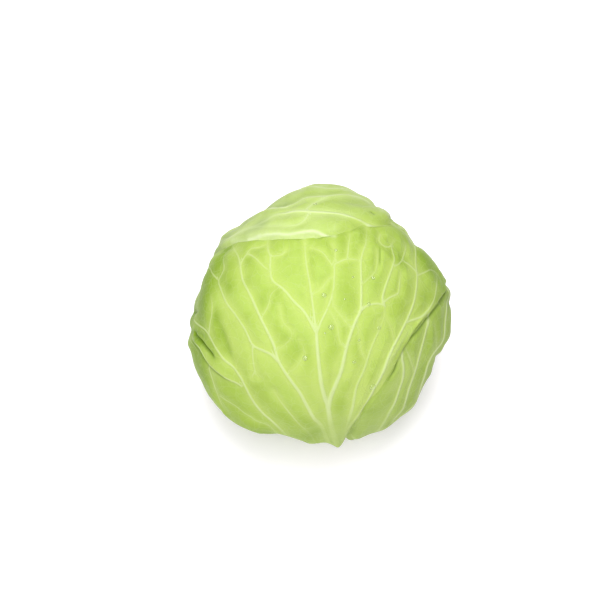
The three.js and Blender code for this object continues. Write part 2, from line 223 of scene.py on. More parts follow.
# Veins, traced where the photograph shows them: widths in millimetres at the foot and at the tip, the places, and
# how strongly the vein shows where that is less than in full
frontVeins = [
    (5, 2.2, [at(0, 11.5), (332.5, 428), (329.5, 416), (327.6, 404), (325, 396.8), (321.4, 383.4), (319.6, 370),
     (317.5, 350), (316.6, 335)]),
    (2, 0.95, [(316.6, 335), (314.8, 321), (312.1, 300), (309.5, 282), (305.9, 260.7), (305, 240)]),
    (1.8, 0.95, [(316.6, 333), (321.1, 321.4), (328.2, 307), (333.6, 289), (334.5, 268), (335.4, 253.6),
     (332.5, 244)]),
    (2.1, 1.2, [(315.5, 331), (305, 312.5), (294.3, 301.8), (283.6, 289.3), (272.5, 280.4), (270.8, 269.3),
     (271, 258.4), (268.5, 250), (267.6, 240)]),
    (3.8, 1.05, [(328, 406), (330.4, 396.8), (335.7, 383.4), (341, 370), (346, 350), (351.4, 332), (356.8, 318),
     (360.4, 310.7), (361.3, 296), (361.1, 275), (361, 261), (363, 252), (365.6, 244), (366.3, 226)]),
    (1.9, 1.4, [(359.5, 312), (364, 307.5), (369.3, 304.8), (376, 303.6), (383.6, 304.2)]),
    (3.5, 1.2, [at(5, 11.5), (341, 433), (347, 423.6), (350, 412.9), (353.6, 399.5), (357, 386), (364.3, 370),
     (370, 352), (375, 338.8), (380, 328), (384.3, 315.6), (385, 304.8)], 0.7),
    (1.9, 1.1, [(384.8, 306), (382.7, 301.5), (383, 295), (386.3, 283.6), (391.3, 269.5), (394.2, 259.5),
     (392.5, 253), (391.3, 245.4), (393.8, 239.6)]),
    (1.5, 1, [(384, 302), (390, 297.3), (395.7, 294.9), (398.5, 293), (399.2, 284), (400.4, 273.6)]),
    (1.4, 0.9, [(391.3, 245.4), (388, 247.5), (383.8, 246.3), (378.9, 241.3), (380, 235)]),
    (4.2, 1.25, [at(9, 12), (339, 437), (344.5, 430.3), (351.6, 421.7), (359.8, 413), (366.3, 404.4), (370.6, 397.6),
     (374, 389.6), (378.3, 382.7), (383.3, 371), (387.4, 358.6), (394, 344.6), (400.7, 333), (407.3, 319.7),
     (412.3, 307.3), (415.6, 293), (416.8, 280.8), (416.6, 273.6), (415.3, 264.5), (414.5, 254.6), (412.9, 248.8),
     (409, 238)]),
    (1.6, 1, [(416.4, 273), (412.8, 268.6), (407, 263.7), (402, 260.4), (404.1, 253), (405, 244.6)]),
    (1.3, 1, [(402, 260.4), (396, 266), (393, 262)]),
    (1.9, 1.2, [(407.3, 322), (414, 319.5), (421.4, 316.4), (427.2, 310.6), (433, 300.7), (435.5, 289),
     (436.8, 279.4), (436.4, 273.6)]),
    (1.3, 0.9, [(416.8, 275.5), (423.6, 272.8), (430, 270), (436.4, 273.6), (441, 281)]),
    (1.3, 0.9, [(336.6, 263), (342, 260.5), (347.4, 259), (352, 258.8), (360, 260.5)]),
    (1.2, 0.8, [(347.4, 258), (348.6, 246), (350, 235)]),
    (1.1, 0.8, [(334.5, 268), (330, 262), (322, 252), (311, 248)]),
    (3.6, 1.2, [at(-5, 11.5), (327.7, 432.5), (321.4, 423.6), (314.3, 416.4), (307, 405.7), (300, 393), (291.5, 381),
     (285.5, 372), (278, 359), (274.4, 346.3), (268, 332.4), (260.5, 317.6), (253, 301), (247.5, 290), (242.4, 280),
     (240.5, 269.3), (239.8, 263), (238, 255.3), (233.5, 247.6), (231, 241)]),
    (2.1, 1.1, [(278, 360.7), (271, 354), (262, 350), (252.3, 344.6), (244.8, 329.6), (234.6, 314), (226.3, 302.8),
     (221.5, 291), (218.9, 281), (223.9, 269.3), (223.6, 262.9), (224.5, 256.5), (230, 250)]),
    (1.4, 0.9, [(218.4, 280), (213, 273.7), (209.9, 268), at(-82, 118)]),
    (1.5, 0.9, [(252.3, 344.6), (252.8, 355.5), (255.4, 371), (259, 377)]),
    (1.2, 0.8, [(255.4, 371), (252, 377)]),
    (1.5, 0.9, [(240.3, 265), (243, 259), (247.5, 254.6), (250.7, 248.9), (259, 247.6), (266.6, 245)]),
    (1.3, 0.9, [(249, 254.5), (255, 257.8), (264.7, 267.4), (270.8, 271.8)]),
    (1.1, 0.8, [(271.6, 256.5), (281.8, 255.5), (287, 250.4)]),
    (1, 0.7, [(261, 319), (268, 306), (271, 294), (278, 288)]),
    (1, 0.7, [(276, 350), (286, 344), (292, 333), (283, 322), (280, 306)], 0.5),
    (1, 0.7, [(288, 373), (297, 366), (304, 352), (300, 340)], 0.5),
    (1.1, 0.8, [(346.5, 350), (340, 341), (337, 325), (328.2, 307)], 0.5),
    (1.1, 0.8, [(352, 330), (343, 318), (334, 306), (333.5, 290)], 0.45),
    (1.1, 0.8, [(361.5, 285), (368, 279), (376, 270), (377.5, 252)], 0.7),
    (1.1, 0.8, [(367.5, 363), (362, 352), (359, 335), (358, 318)], 0.45),
    (1, 0.7, [(394.3, 346.4), (392, 330), (386, 318)], 0.6),
    (1, 0.7, [(311, 295), (320, 290), (328, 280), (334, 275)], 0.6),
    (3.3, 1.3, [at(-16, 12), (296, 439), (283.6, 430), (272.5, 420.5), (260, 409.4), (251.4, 397), (246.3, 387),
     (241.2, 376.7), (234, 366.5), (225.9, 359.4), (219.8, 351.2), (213.7, 342), (209.6, 334.9), (205.5, 329.8),
     (200.4, 325.7), (195.3, 319.5)]),
    (1.8, 1, [at(-10, 11.5), (317.9, 435), (309, 429), (300, 423.6), (290, 413), (281, 402), (274, 391)]),
    (1.5, 0.9, [(209.6, 334), (210, 326), (212, 315.5), (212.7, 305.3), (212, 296)]),
    (1.8, 1.2, [(241.2, 384.9), (235, 379.8), (224.9, 374.7), (213.7, 367.5), (206.5, 355.3), (200.4, 345),
     (194, 336)]),
    (1.6, 1, [(210, 366), (211.6, 373.7), (214.7, 383), (217.8, 392), (220.8, 400), (226, 409)]),
    (1.2, 0.8, [(222, 396), (235.5, 404.5), (246.6, 412), (258.6, 419.3), (272.5, 426.7), (283, 433)]),
    (1, 0.8, [(192.5, 335.2), (195.7, 344.4), (198.5, 352)]),
    (2, 1.1, [at(-24, 12), at(-52, 22), at(-72, 38), at(-84, 54), at(-97, 74), at(-101, 96), at(-98, 106)]),
    (1.2, 0.8, [at(-84, 54), at(-93, 56), at(-98, 66)]),
    (1.2, 0.8, [at(-97, 74), at(-90, 84), at(-94, 104)]),
    (1.3, 0.8, [at(80, 128), at(77, 112), at(84, 104), at(92, 106)]),
    (1.3, 0.8, [(409, 240), at(60, 132), at(72, 128), at(80, 128)]),
]
rightVeins = [
    (3.4, 1.9, [at(42, 12), (358, 433), (371.4, 429), (380.4, 422.7), (387.5, 412.9), (393.8, 403), (399, 390.5),
     (402.4, 379.6), (403, 365), (402.3, 353.7), at(42, 92)]),
    (3.4, 2, [at(56, 12), (386, 424), (394, 416), (400.9, 409), (404.5, 401), (409.8, 385), (415.6, 369.4),
     (419, 355.3), (422, 343), (425.3, 329.7), (427.6, 319), at(62, 106), at(60, 128)]),
    (3.8, 2.3, [at(66, 12), at(70, 23), at(74, 32), (414, 399), (418.8, 390.5), (423, 376.9), (427, 363.6),
     (433, 352.9), (440.5, 343), (443, 332), (445, 315.6), (445.8, 303), (445.4, 293), at(89, 112), at(84, 126)]),
    (1.2, 0.8, [(413.9, 372), (409, 356), (405, 346)]),
    (1.2, 0.8, [(436, 349), (435, 336), (433, 322)], 0.45),
    (1.4, 0.8, [at(78, 14), at(86, 32), at(94, 54), at(101, 76), at(103, 96), at(99, 114)]),
    (1.1, 0.7, [at(94, 54), at(86, 62), at(84, 74)]),
    (1.1, 0.7, [at(101, 76), at(93, 84), at(92, 100)]),
]
topVeins = [
    (4.6, 1.1, [at(201, 12), at(206, 36), at(216, 68), at(230, 94), at(238, 106)]),
    (3.2, 3, [at(238, 106), (244, 230), (264, 222.4), (276, 216), (288, 213.4)], 0.3),
    (2.8, 1.6, [(282, 214.4), (296, 212.4), (315, 212.6), (332, 213.7), (343, 215), (355, 218.2), (363, 220.8),
     (368, 222.4), (378, 224.8), (387, 226.8)]),
    (4.2, 1.6, [at(191, 12), at(193, 38), at(198, 74), at(206, 112), at(221, 133), at(246, 148), (279.8, 209.4),
     (292, 206), (301, 201.6), (308.4, 199.4), (332.9, 197.6), (350, 197.4), (359, 198.6), (367, 203)]),
    (3.4, 1.4, [at(182, 12), at(180, 40), at(178, 78), at(178, 114), at(177, 135), at(176, 153), at(173, 168),
     (303.3, 188), (312.4, 187.7), (322.7, 189.5), (333, 190), (343, 190), (352, 192)]),
    (2.8, 1.2, [at(172, 12), at(164, 40), at(156, 76), at(148, 106), at(138, 128), at(120, 140), at(100, 142)]),
    (2.4, 1, [at(163, 12), at(152, 38), at(141, 66), at(132, 92), at(124, 110), at(115, 123)]),
    (2.4, 1.1, [at(208, 12), at(215, 36), at(232, 68), at(250, 96), at(262, 113), at(277, 128), at(295, 137),
     (250, 229), (270, 226.5), (286, 226.5)]),
    (1.5, 0.8, [at(216, 68), at(226, 74), at(238, 86), at(244, 98)]),
    (1.5, 0.8, [at(206, 36), at(214, 46), at(224, 60), at(232, 68)]),
    (1.5, 0.8, [at(198, 74), at(206, 84), at(214, 98), at(222, 104)]),
    (1.5, 0.8, [at(193, 38), at(199, 48), at(207, 60), at(214, 66)]),
    (1.5, 0.8, [at(206, 112), at(216, 116), at(228, 118), at(238, 112)]),
    (1.5, 0.8, [at(178, 78), at(187, 88), at(195, 100), at(205, 112)]),
    (1.5, 0.8, [at(180, 40), at(186, 50), at(192, 62), at(198, 72)]),
    (1.5, 0.8, [at(178, 114), at(190, 120), at(204, 130), at(221, 134)]),
    (1.5, 0.8, [at(178, 78), at(168, 86), at(158, 96), at(151, 98)]),
    (1.5, 0.8, [at(178, 114), at(166, 120), at(154, 124), at(140, 126)]),
    (1.4, 0.8, [at(156, 76), at(147, 80), at(137, 84), at(134, 90)]),
    (1.4, 0.8, [at(177, 142), at(165, 146), at(148, 141), at(134, 129)]),
    (1.3, 0.8, [(305, 211), (316, 204), (326, 200), (334, 196)]),
    (1.3, 0.8, [(309.4, 212.5), (305.3, 219.8), (297, 225), (286, 226.5)]),
]

# What a leaf has if its own entry doesn't say otherwise
usual = {
    "slot": "inner_leaf",
    "stalk": 5,  # height of the stalk
    "veins": None,
    "softFoot": 0,  # how far the veins fade near the stem
    "stalkShape": 1.5,  # how narrow the stalk is
    "sway": 0.7,  # how far the margin wanders to and fro
    "open": (0.12, 0.4),  # where along the leaf its margin comes loose
    "lip": 0.9,  # how far the blade rises just inside its margin
    "lipPlace": 3.5,
    "gap": 0.35,  # how closely the margin hugs the leaf beneath it
    "paleEdge": 0.3,
}
# From the innermost leaf to the outermost. Cells are the steps across and along the sheet.
leaves = [
    {"node": "leaf_back_right", "cells": (180, 150), "ribs": fanRibs(126, 64, 72, 146, 6)},
    {"node": "leaf_left", "cells": (190, 150), "ribs": fanRibs(-132, 76, 78, 146, 7)},
    {"node": "leaf_lower_left", "cells": (160, 140), "ribs": fanRibs(-56, 56, 54, 126, 6)},
    {"node": "leaf_right", "cells": (200, 190), "ribs": rightRibs, "veins": rightVeins, "stalk": 3.8,
     "softFoot": 0.6},
    {"node": "leaf_front", "cells": (240, 190), "ribs": frontRibs, "veins": frontVeins, "slot": "outer_leaf",
     "stalk": 6, "stalkShape": 2.8, "softFoot": 0.8, "sway": 0.3, "open": (0.3, 0.5), "lip": 1.1,
     "lipPlace": 1.2, "paleEdge": 0.1},
    {"node": "leaf_top", "cells": (180, 250), "ribs": topRibs, "veins": topVeins, "slot": "outer_leaf",
     "stalk": 6, "sway": 0.12, "lip": 0.15, "gap": 0.05},
]
leaves = [{**usual, **leaf, "ribs": [placed(rib) for rib in leaf["ribs"]]} for leaf in leaves]
# Sizes are in millimetres, and starts are shares of a leaf's length.
form = {
    "puff": 1.1,  # how far a blade swells between its veins
    "puffSize": 7, "puffStart": (0.03, 0.3),
    "ripple": 0.45,  # height of the soft waves of a blade
    "rippleSize": 16,
    "swaySize": 9, "swayStart": (0.15, 0.35),
    "lipWidth": 2.2, "lipSize": 14,
    "lipWaves": 0.35,  # how much the lip rises and falls along the margin
    # how far in from the margin each of these reaches
    "reach": {"sway": 7, "puff": 9, "gap": 8, "drape": 6, "blade": 5, "vein": 3, "melt": 4, "flush": 5.5},
    "drape": (1.5, 0.7),  # how loosely a leaf lies in its middle and at its margin
    "tightBlade": 0.2,  # thickness where the margin isn't loose
    "leastBlade": 0.15,
    "stalkLength": 0.09,  # as a share of the leaf's length
    "showThrough": 0.2,  # how much of a covered leaf's relief is left
    "covered": (0.45, 0.85),
    "softFoot": (0.72, 0.9),  # where the veins fade near the stem, as how far a place faces the stem
    "tableGap": 1.1,
    "meltDepth": 1.1, "melts": (10, 4), "meltStart": 0.12,
    "flushDepth": 1.3, "sinks": (10, 5),
    "outlineDepth": 0.4,  # how far a bump of the outline reaches towards the viewer
    "haloSize": 4.2,  # reach of the lighter green beside a vein
    "footLength": 0.13, "footPale": 0.65,
    "rimWidth": (1.2, 0.1),
    "shadedSides": 0.75,  # how strongly painted shade darkens the sides and back, away from the crown, compared with the front
}
veinForm = {
    "height": 0.19,  # as a share of the width
    "taper": 0.6,
    "fadingTip": 1.25,  # a vein whose tip is thinner than this fades away
    "fade": (0.75, 1), "fadeBy": 0.75,
    "fullWidth": 2.1,  # a vein this wide shows in full
    "leastShow": 0.35,
    "thin": 1.3,  # the blade dips less beside veins thinner than this
    "reach": 16,
    "farAcross": 9.0,  # stands for any place well outside the veins, in half widths
    "farApart": 30.0,
}


def leafDirection(leaf, rib, along):
    # direction of the head at places on a leaf, given as flat lists
    rows = np.stack([evenCurve(points, along) for points in leaf["ribs"]])
    rows = np.concatenate([2 * rows[:1] - rows[1:2], rows, 2 * rows[-1:] - rows[-2:-1]])
    i = np.minimum(rib.astype(int), len(leaf["ribs"]) - 2)
    n = np.arange(len(rib))
    return unit(blendPoints(rows[i, n], rows[i + 1, n], rows[i + 2, n], rows[i + 3, n], (rib - i)[:, None]))


# A map of heights over all directions, which each leaf is draped over in turn
perDegree = 2
mapRows, mapColumns = 180 * perDegree + 1, 360 * perDegree
polars = np.radians(np.linspace(0, 180, mapRows))
azimuths = np.radians(np.arange(mapColumns) / perDegree - 180)
cell = radians(1 / perDegree) * headRadius
ring = np.maximum(np.sin(polars), 0.03)  # width of the cells in each row
everyWay = np.stack(np.broadcast_arrays(np.sin(polars)[:, None] * np.sin(azimuths),
                                        -np.sin(polars)[:, None] * np.cos(azimuths),
                                        -np.cos(polars)[:, None]), axis=-1)


def cellPlace(d):
    row = degreesBetween(-d[..., 2]) * perDegree
    column = (np.degrees(np.arctan2(d[..., 0], -d[..., 1])) + 180) * perDegree
    return row, column


def lookUp(field, d):
    row, column = cellPlace(d)
    r, c = np.minimum(row.astype(int), mapRows - 2), column.astype(int)
    below, beside = row - r, column - c
    c0, c1 = c % mapColumns, (c + 1) % mapColumns
    upper = field[r, c0] * (1 - beside) + field[r, c1] * beside
    lower = field[r + 1, c0] * (1 - beside) + field[r + 1, c1] * beside
    return upper * (1 - below) + lower * below


def stamped(field, d, values):
    # the higher of the field and the leaf's own values, at each cell that the leaf covers
    fine = [finer(finer(a, 3).swapaxes(0, 1), 3) for a in (*np.moveaxis(d, -1, 0), values)]
    row, column = cellPlace(unit(np.stack(fine[:3], axis=-1)))
    out = field.copy()
    np.maximum.at(out, (np.rint(row).astype(int), np.rint(column).astype(int) % mapColumns), fine[3])
    return out


def finer(a, times):
    place = np.linspace(0, len(a) - 1, (len(a) - 1) * times + 1)
    i = np.minimum(place.astype(int), len(a) - 2)
    w = (place - i)[:, None]
    return a[i] * (1 - w) + a[i + 1] * w


def widened(field, reach):
    # the highest value within a reach in millimetres
    out = field
    for step in range(ceil(reach / cell)):
        padded = np.concatenate([out[:1], out, out[-1:]])
        out = np.maximum(np.maximum(padded[:-2], padded[2:]), out)
    need = reach / (cell * ring)
    covered, step = 0, 1
    while covered < need.max() and step < mapColumns // 4:
        wider = np.maximum(np.maximum(np.roll(out, step, 1), np.roll(out, -step, 1)), out)
        out = np.where((need > covered)[:, None], wider, out)
        covered, step = covered + step, step * 2
    return out


def softened(field, spread):
    # blurred over a spread in millimetres, and over 60 cells at most
    turns = np.fft.rfftfreq(mapColumns)
    across = np.minimum(spread / (cell * ring), 60)[:, None]
    waves = np.fft.rfft(field, axis=1) * np.exp(-2 * (pi * turns * across) ** 2)
    out = np.fft.irfft(waves, mapColumns, axis=1)
    reach = ceil(3 * spread / cell)
    over = np.roll(out, mapColumns // 2, 1)
    padded = np.concatenate([over[1:reach + 1][::-1], out, over[-reach - 1:-1][::-1]])
    weights = bell(np.arange(-reach, reach + 1) * cell, spread)
    return sum(w * padded[i:i + mapRows] for i, w in enumerate(weights / weights.sum()))


def ripples(d, size, seed, count=36):
    # smooth uneven waves about as long as size, mostly between -2 and 2
    chance = np.random.default_rng(seed)
    waves = chance.normal(size=(3, count)) * headRadius / size * 2
    return np.cos(d @ waves + chance.uniform(0, 2 * pi, count)).sum(-1) / sqrt(count / 2)


def nearestOn(line, p):
    # how far points are from a line, how far along it the nearest place is, from 0 to 1, and on which side of
    # it they are, seen from outside: 1 is to the left of its direction and -1 to the right
    best, place, side = np.full(len(p), 1e9), np.zeros(len(p)), np.ones(len(p))
    for j in range(len(line) - 1):
        a, ab = line[j], line[j + 1] - line[j]
        t = np.clip((p - a) @ ab / (ab @ ab), 0, 1)
        apart = norm(p - a - t[:, None] * ab, axis=1)
        nearer = apart < best
        best = np.where(nearer, apart, best)
        place = np.where(nearer, (j + t) / (len(line) - 1), place)
        side = np.where(nearer, np.sign(np.einsum("ij,ij->i", np.cross(ab[None], p - a), p)), side)
    return best, place, side


def traced(points, step=2.5):
    # points of a line through places, about a step in millimetres apart
    rough = np.asarray(placed(points))
    length = norm(np.diff(rough, axis=0), axis=1).sum() * headRadius
    return unit(evenCurve(rough, np.linspace(0, 1, max(4, int(length / step) + 1)))) * headRadius


def veinRelief(veins, d):
    # height of the veins, the distance to the nearest one in millimetres, its place across that vein, which
    # is -1 and 1 at its edges, and how strongly it shows
    p = d.reshape(-1, 3) * headRadius
    height, show = np.zeros((2, len(p)))
    nearest = np.full(len(p), veinForm["farApart"])
    across = np.full(len(p), veinForm["farAcross"])
    for foot, tip, points, *strength in veins:
        line = traced(points)
        middle = line.mean(0)
        reach = norm(line - middle, axis=1).max() + veinForm["reach"]
        near = np.nonzero(norm(p - middle, axis=1) < reach)[0]
        apart, place, side = nearestOn(line, p[near])
        width = foot + (tip - foot) * place ** veinForm["taper"]
        fade = 1 - veinForm["fadeBy"] * smoothstep(place, *veinForm["fade"]) * (tip < veinForm["fadingTip"])
        fade = fade * (strength[0] if strength else 1)
        height[near] = np.maximum(height[near], veinForm["height"] * width * (spot(apart, 0.5 * width) * fade))
        share = np.minimum(apart / (0.5 * width), veinForm["farAcross"])
        closer = share < np.abs(across[near])
        across[near] = np.where(closer, share * side, across[near])
        shown = fade * np.clip(width / veinForm["fullWidth"], veinForm["leastShow"], 1)
        show[near] = np.where(closer, shown, show[near])
        nearest[near] = np.minimum(nearest[near], apart * (1 + 0.8 * (width < veinForm["thin"])))
    return [a.reshape(d.shape[:-1]) for a in (height, nearest, across, show)]


# Veins of a leaf that the photograph doesn't show. Places are in ribs across and in shares of its length.
ownVein = {
    "middle": 5.2, "others": 3.8, "tips": (1.3, 0.8), "end": 0.95,
    "forks": (0.2, 0.34, 0.49, 0.65, 0.8), "forkWidth": 1.9,
    "fork": ((0, 0), (0.2, 0.045), (0.4, 0.11), (0.5, 0.17)),
    "linkWidth": 1.2, "linkStart": (0.28, 0.4),
}


def ownVeins(leaf, seed):
    # one vein along each rib, with forks and links between
    chance = np.random.default_rng(seed)
    last = len(leaf["ribs"]) - 1
    mainTip, thinTip = ownVein["tips"]

    def line(places):
        rib, along = np.array(places, float).T
        return list(leafDirection(leaf, rib, along))

    veins = []
    for k in range(1, last):
        main = ownVein["middle" if abs(2 * k - last) <= 1 else "others"]
        veins.append((main, mainTip, line([(k, a) for a in np.linspace(0, ownVein["end"], 9)])))
        for a in ownVein["forks"]:
            for side in (-1, 1):
                start = a + chance.uniform(-0.04, 0.04)
                veins.append((ownVein["forkWidth"] - a, thinTip,
                              line([(k + side * across, start + along) for across, along in ownVein["fork"]])))
    for k in range(last):
        start = chance.uniform(*ownVein["linkStart"])
        veins.append((ownVein["linkWidth"], thinTip,
                      line([(k + 0.5 + chance.uniform(-0.06, 0.06), a)
                            for a in np.linspace(start, ownVein["end"], 7)])))
    return veins


def marginDistance(d):
    # millimetres from each place to the nearest of the sheet's sides and tip
    p = d * headRadius
    across = norm(np.diff(p, axis=1), axis=-1).cumsum(axis=1)
    fromLeft = np.concatenate([np.zeros((len(p), 1)), across], axis=1)
    fromRight = fromLeft[:, -1:] - fromLeft
    along = norm(np.diff(p, axis=0), axis=-1)[::-1].cumsum(axis=0)[::-1]
    fromTip = np.concatenate([along, np.zeros((1, p.shape[1]))])
    return np.minimum(np.minimum(fromLeft, fromRight), fromTip)


def newPiece(name, add, **shape):
    bpy.ops.object.select_all(action="DESELECT")
    add(**shape)
    return named(bpy.context.active_object, name)


def named(piece, name):
    piece.name = name
    piece.data.name = name
    return piece


def readPoints(piece):
    flat = np.zeros(len(piece.data.vertices) * 3)
    piece.data.vertices.foreach_get("co", flat)
    return flat.reshape(-1, 3)


def setPoints(piece, points):
    piece.data.vertices.foreach_set("co", np.asarray(points, np.float32).ravel())
    piece.data.update()


def giveValues(piece, **fields):
    # numbers for the material, one at each point; those of a leaf serve its outside and its inside
    for name, values in fields.items():
        layer = piece.data.attributes.new(name, "FLOAT", "POINT")
        layer.data.foreach_set("value", np.resize(np.asarray(values, np.float32), len(piece.data.vertices)))


def finishPiece(piece, node, material):
    piece.data.materials.clear()
    piece.data.materials.append(material)
    bpy.ops.object.select_all(action="DESELECT")
    piece.select_set(True)
    bpy.context.view_layer.objects.active = piece
    bpy.ops.object.shade_smooth_by_angle(angle=radians(50))
    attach(piece, "root")
    if node:
        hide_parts(node)


def colour(code):
    # shader colour from a screen colour written as six hex digits
    parts = [int(code[i:i + 2], 16) / 255 for i in (0, 2, 4)]
    return (*[c / 12.92 if c <= 0.04045 else ((c + 0.055) / 1.055) ** 2.4 for c in parts], 1)


class Nodes:
    def __init__(self, name):
        self.material = bpy.data.materials.new(name)
        self.material.use_nodes = True
        self.tree = self.material.node_tree
        self.place = self.add("TexCoord").outputs["Object"]

    def add(self, kind, inputs=(), **settings):
        made = self.tree.nodes.new("ShaderNode" + kind)
        for key, value in settings.items():
            setattr(made, key, value)
        self.fill(made, inputs)
        return made

    def fill(self, node, inputs):
        for key, value in dict(inputs).items():
            socket = node.inputs[key]
            if isinstance(value, bpy.types.NodeSocket):
                self.tree.links.new(value, socket)
            else:
                socket.default_value = colour(value) if isinstance(value, str) else value

    def value(self, name):
        return self.add("Attribute", attribute_name=name).outputs["Fac"]

    def ramp(self, source, low, high, start=0.0, end=1.0):
        return self.add("MapRange", {"Value": source, "From Min": low, "From Max": high, "To Min": start,
                                     "To Max": end}, interpolation_type="SMOOTHSTEP").outputs["Result"]

    def math(self, operation, a, b=0.0):
        return self.add("Math", {0: a, 1: b}, operation=operation).outputs[0]

    def times(self, a, b):
        return self.math("MULTIPLY", a, b)

    def mix(self, share, a, b):
        return self.add("Mix", {"Factor": share, 6: a, 7: b}, data_type="RGBA").outputs[2]

    def noise(self, scale, detail=3.0, rough=0.5, warp=0.0, output="Fac"):
        return self.add("TexNoise", {"Vector": self.place, "Scale": scale, "Detail": detail, "Roughness": rough,
                                     "Distortion": warp}).outputs[output]

    def bump(self, height, strength, distance):
        return self.add("Bump", {"Height": height, "Strength": strength, "Distance": distance}).outputs[0]

    def finish(self, inputs):
        self.fill(self.tree.nodes["Principled BSDF"], inputs)
        return self.material


skin = {
    "blotch": 38, "mottle": 190, "grain": 900,  # scales of the uneven greens, from broad to fine
    "nets": ((135, 0.055), (300, 0.08)),  # scale and line width of the two nets of fine veins
    "netWarp": (90, 0.006),
    "roughness": (0.42, 0.54), "specular": 0.09, "relief": (0.5, 0.0004),
    "glow": 0.15, "glowColour": (0.9, 1.0, 0.35), "glowDepth": 0.0025,
}


def leafMaterial(name, tones, other=None):
    n = Nodes(name)
    blotch = n.ramp(n.noise(skin["blotch"], 3, 0.55, 0.6), 0.36, 0.64)
    mottle = n.noise(skin["mottle"], 4, 0.6)
    grain = n.noise(skin["grain"], 2, 0.5)
    scale, depth = skin["netWarp"]
    warp = n.add("VectorMath", {0: n.noise(scale, 2, output="Color"), "Scale": depth}, operation="SCALE")
    moved = n.add("VectorMath", {0: n.place, 1: warp.outputs[0]}, operation="ADD").outputs[0]
    nets = []
    for scale, line in skin["nets"]:
        edge = n.add("TexVoronoi", {"Vector": moved, "Scale": scale}, feature="DISTANCE_TO_EDGE")
        nets.append(n.ramp(edge.outputs["Distance"], 0.0, line, 1.0, 0.0))
    line = n.ramp(n.math("ABSOLUTE", n.value("across")), 0.45, 1.15, 1.0, 0.0)
    vein = n.times(n.times(line, n.ramp(n.value("near"), 1.7, 2.7, 1.0, 0.0)), n.value("show"))

    def tone(which):
        return n.mix(n.value("kin"), tones[which], other[which]) if other else tones[which]

    base = n.mix(blotch, tone("deep"), tone("middle"))
    # halo is partly painted light and the rim layer partly painted highlight; shade and dark lay on painted shade
    for share, which in (
        (n.times(n.value("halo"), 0.85), "light"), (n.ramp(mottle, 0.3, 0.7, 0.0, 0.2), "light"),
        (n.times(n.value("shade"), 0.85), "shade"), (n.times(nets[0], 0.13), "vein"),
        (n.times(nets[1], 0.06), "vein"), (n.value("pale"), "foot"), (n.times(vein, 0.9), "vein"),
        (n.value("rim"), "rim"), (n.times(n.value("dark"), 0.9), "dark"),
    ):
        base = n.mix(share, base, tone(which))
    relief = n.times(nets[0], 0.5)
    for height, share in ((nets[1], 0.25), (mottle, 0.9), (grain, 0.18), (vein, 0.9)):
        relief = n.math("ADD", relief, n.times(height, share))
    return n.finish({
        "Base Color": base, "Roughness": n.ramp(mottle, 0.25, 0.75, *skin["roughness"]),
        "Normal": n.bump(relief, *skin["relief"]), "Specular IOR Level": skin["specular"],
        "Subsurface Weight": skin["glow"], "Subsurface Radius": skin["glowColour"],
        "Subsurface Scale": skin["glowDepth"],
    })


# shade and dark are the greens of painted shade; light is the lighter green beside veins and also serves painted
# light from the patches
frontTones = dict(deep="96af46", middle="a0b954", light="aec265", vein="bccb8c", rim="bccb8c", foot="9fb070",
                  shade="7c992a", dark="5c7a16")
topTones = dict(deep="9fb656", middle="abc06a", light="b8cb7e", vein="c2cf98", rim="c6d3a0", foot="b6c688",
                shade="94a766", dark="788d45")
innerTones = dict(deep="8da743", middle="99b150", light="a8bd64", vein="b8c78a", rim="b4c28c", foot="acbc7e",
                  shade="839c3c", dark="5c761c")
skins = {"outer_leaf": leafMaterial("outer_leaf_skin", frontTones, topTones),
         "inner_leaf": leafMaterial("inner_leaf_skin", innerTones)}
